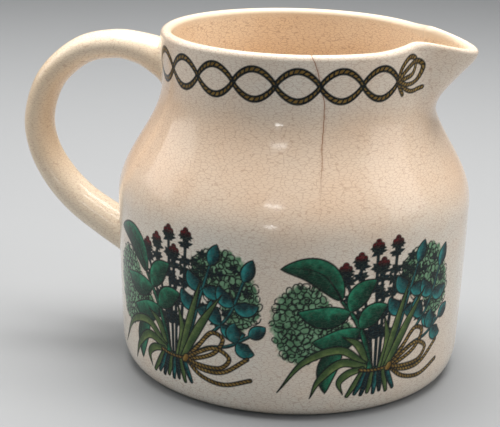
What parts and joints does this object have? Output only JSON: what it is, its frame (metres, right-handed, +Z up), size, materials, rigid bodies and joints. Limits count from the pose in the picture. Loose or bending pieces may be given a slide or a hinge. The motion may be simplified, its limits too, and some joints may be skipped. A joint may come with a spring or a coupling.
{
  "type": "ceramic pitcher",
  "caption": "Round-bellied glazed earthenware pitcher with a pinched spout, a loop handle, a rope print round the neck and herb prints round the belly.",
  "frame": {"origin": "centre of the foot ring, on the surface the pitcher stands on", "axes": "+X towards the spout, -X towards the handle, +Z up"},
  "size_m": [0.2105, 0.1584, 0.154],
  "materials": {
    "earthenware": "unglazed, fine and slightly rough",
    "outer_glaze": "glossy cream glaze with fine brown crazing, stained peach round the shoulder",
    "inner_glaze": "glossy glaze, stained tan, with fine crazing",
    "handle_glaze": "glossy cream glaze stained peach",
    "handle_slip": "glossy, glazed over",
    "rope_print": "glossy fired print in tan with black outlines",
    "herb_print": "glossy fired print in greens, teal, crimson and black"
  },
  "bodies": {
    "root": {"clay_body": "earthenware", "outer_glaze": "outer_glaze", "inner_glaze": "inner_glaze", "base_glaze": "outer_glaze", "handle": "earthenware", "handle_glaze": "handle_glaze", "upper_handle_joint": "handle_slip", "lower_handle_joint": "handle_slip", "rope_transfer_front": "rope_print", "rope_transfer_back": "rope_print", "herb_transfer_1": "herb_print", "herb_transfer_2": "herb_print", "herb_transfer_3": "herb_print", "herb_transfer_4": "herb_print"}
  },
  "joints": []
}
